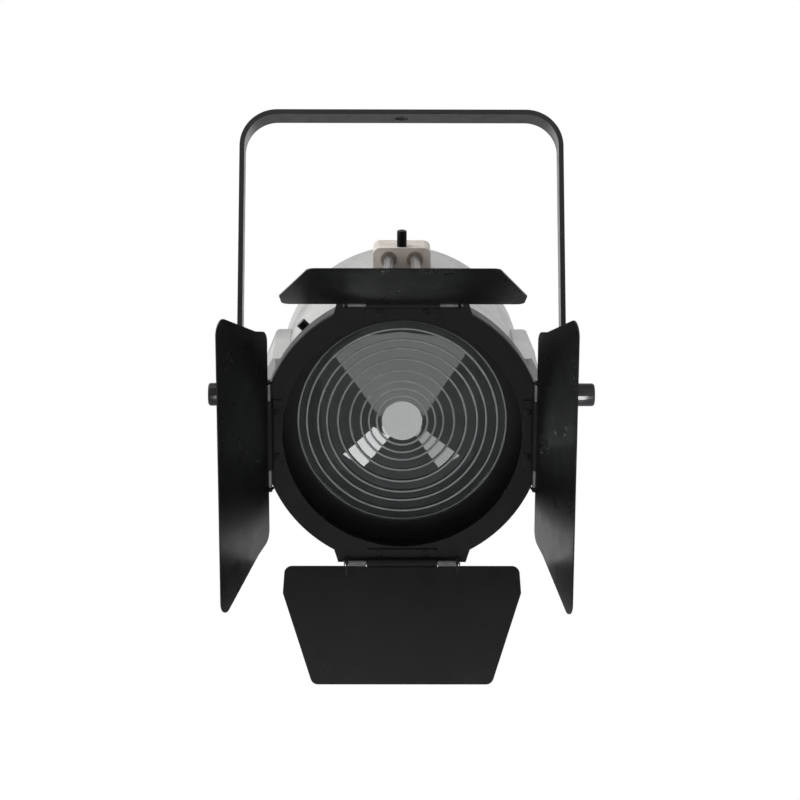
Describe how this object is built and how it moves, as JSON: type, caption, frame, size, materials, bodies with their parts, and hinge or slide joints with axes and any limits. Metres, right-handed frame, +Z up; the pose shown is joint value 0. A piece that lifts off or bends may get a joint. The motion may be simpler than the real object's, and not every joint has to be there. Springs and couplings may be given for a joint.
{
  "type": "fresnel spotlight",
  "caption": "Theatre Fresnel spotlight hung in an inverted-U yoke, with a stepped lens, a top focus slide and a turning four-leaf barn door.",
  "frame": {"origin": "centre of the yoke's hanging hole, on the top face of its bar", "axes": "+Z up, -Y towards the front of the lamp, +X along the tilt axis to the right of the picture"},
  "size_m": [0.3858, 0.4776, 0.5861],
  "materials": {
    "black_coated_steel": "satin powder coat",
    "black_painted_aluminium": "satin black paint",
    "black_plastic": "phenolic",
    "bronze": "sintered bronze",
    "ceramic": "steatite, stands for ceramic",
    "friction_fibre": "fibre",
    "grey_painted_aluminium": "light grey satin paint",
    "lens_glass": "moulded borosilicate",
    "plain_steel": "zinc plated",
    "reflector_metal": "polished",
    "silicone": "silicone",
    "yoke_steel": "black powder coat"
  },
  "bodies": {
    "yoke": {"yoke_bracket": "yoke_steel", "friction_discs": "friction_fibre", "knob_washers": "plain_steel"},
    "head": {"front_barrel": "black_painted_aluminium", "rear_housing": "grey_painted_aluminium", "rear_cap": "grey_painted_aluminium", "vent_grille": "black_coated_steel", "vent_frame": "plain_steel", "cap_screws": "plain_steel", "side_cheek_left": "grey_painted_aluminium", "side_cheek_right": "grey_painted_aluminium", "pivot_hub_left": "plain_steel", "pivot_hub_right": "plain_steel", "pivot_studs": "plain_steel", "lens_bezel": "black_painted_aluminium", "fresnel_lens": "lens_glass", "lens_gasket": "silicone", "lens_seat": "plain_steel", "lens_clips": "plain_steel", "focus_rods": "plain_steel", "rod_support_front": "grey_painted_aluminium", "rod_support_rear": "grey_painted_aluminium", "cable_gland": "black_plastic", "safety_eye": "plain_steel", "terminal_block": "ceramic"},
    "tilt_knob_left": {"tilt_knob_left": "black_plastic"},
    "tilt_knob_right": {"tilt_knob_right": "black_plastic"},
    "lens_catch": {"lens_catch": "black_plastic"},
    "focus_carriage": {"focus_slider": "grey_painted_aluminium", "slider_bushes": "bronze", "lamp_sled": "plain_steel", "lamp_holder": "ceramic", "halogen_lamp": "lens_glass", "lamp_filament": "plain_steel", "lamp_reflector": "reflector_metal"},
    "focus_lock": {"focus_lock": "black_plastic"},
    "barn_ring": {"barn_ring": "black_coated_steel", "keeper_ring": "black_coated_steel", "hinge_screws": "plain_steel", "hinge_bracket_top": "black_coated_steel", "hinge_pin_top": "plain_steel", "hinge_bracket_right": "black_coated_steel", "hinge_pin_right": "plain_steel", "hinge_bracket_bottom": "black_coated_steel", "hinge_pin_bottom": "plain_steel", "hinge_bracket_left": "black_coated_steel", "hinge_pin_left": "plain_steel"},
    "leaf_top": {"leaf_top": "black_coated_steel"},
    "leaf_right": {"leaf_right": "black_coated_steel"},
    "leaf_bottom": {"leaf_bottom": "black_coated_steel"},
    "leaf_left": {"leaf_left": "black_coated_steel"}
  },
  "joints": [
    {"name": "head_tilt", "type": "hinge", "parent": "yoke", "child": "head", "pos_m": [0, 0, -0.2923], "axis": [1, 0, 0], "range_deg": [-48, 62]},
    {"name": "tilt_knob_left_turn", "type": "hinge", "parent": "head", "child": "tilt_knob_left", "pos_m": [-0.18, 0, -0.2923], "axis": [-1, 0, 0], "continuous": true},
    {"name": "tilt_knob_right_turn", "type": "hinge", "parent": "head", "child": "tilt_knob_right", "pos_m": [0.18, 0, -0.2923], "axis": [1, 0, 0], "continuous": true},
    {"name": "lens_catch_pull", "type": "slide", "parent": "head", "child": "lens_catch", "axis": [-0.7071, -0.332, 0.6243], "range_m": [0, 0.004], "stiffness_N_per_m": 400, "springref_m": -0.001},
    {"name": "focus_slide", "type": "slide", "parent": "head", "child": "focus_carriage", "axis": [0, -0.8829, -0.4695], "range_m": [-0.005, 0.06]},
    {"name": "focus_lock_turn", "type": "hinge", "parent": "focus_carriage", "child": "focus_lock", "pos_m": [0, -0.04746, -0.14765], "axis": [0, -0.4695, 0.8829], "continuous": true},
    {"name": "barn_ring_turn", "type": "hinge", "parent": "head", "child": "barn_ring", "pos_m": [0, -0.11902, -0.35558], "axis": [0, -0.8829, -0.4695], "continuous": true},
    {"name": "leaf_top_hinge", "type": "hinge", "parent": "barn_ring", "child": "leaf_top", "pos_m": [0, -0.17944, -0.24195], "axis": [-1, 0, 0], "range_deg": [-116.5, 57.5]},
    {"name": "leaf_right_hinge", "type": "hinge", "parent": "barn_ring", "child": "leaf_right", "pos_m": [0.1265, -0.11902, -0.35558], "axis": [0, -0.4695, 0.8829], "range_deg": [-74.7, 73.3]},
    {"name": "leaf_bottom_hinge", "type": "hinge", "parent": "barn_ring", "child": "leaf_bottom", "pos_m": [0, -0.0586, -0.46922], "axis": [1, 0, 0], "range_deg": [-146.8, 27.2]},
    {"name": "leaf_left_hinge", "type": "hinge", "parent": "barn_ring", "child": "leaf_left", "pos_m": [-0.1265, -0.11902, -0.35558], "axis": [0, 0.4695, -0.8829], "range_deg": [-80.6, 67.4]}
  ]
}
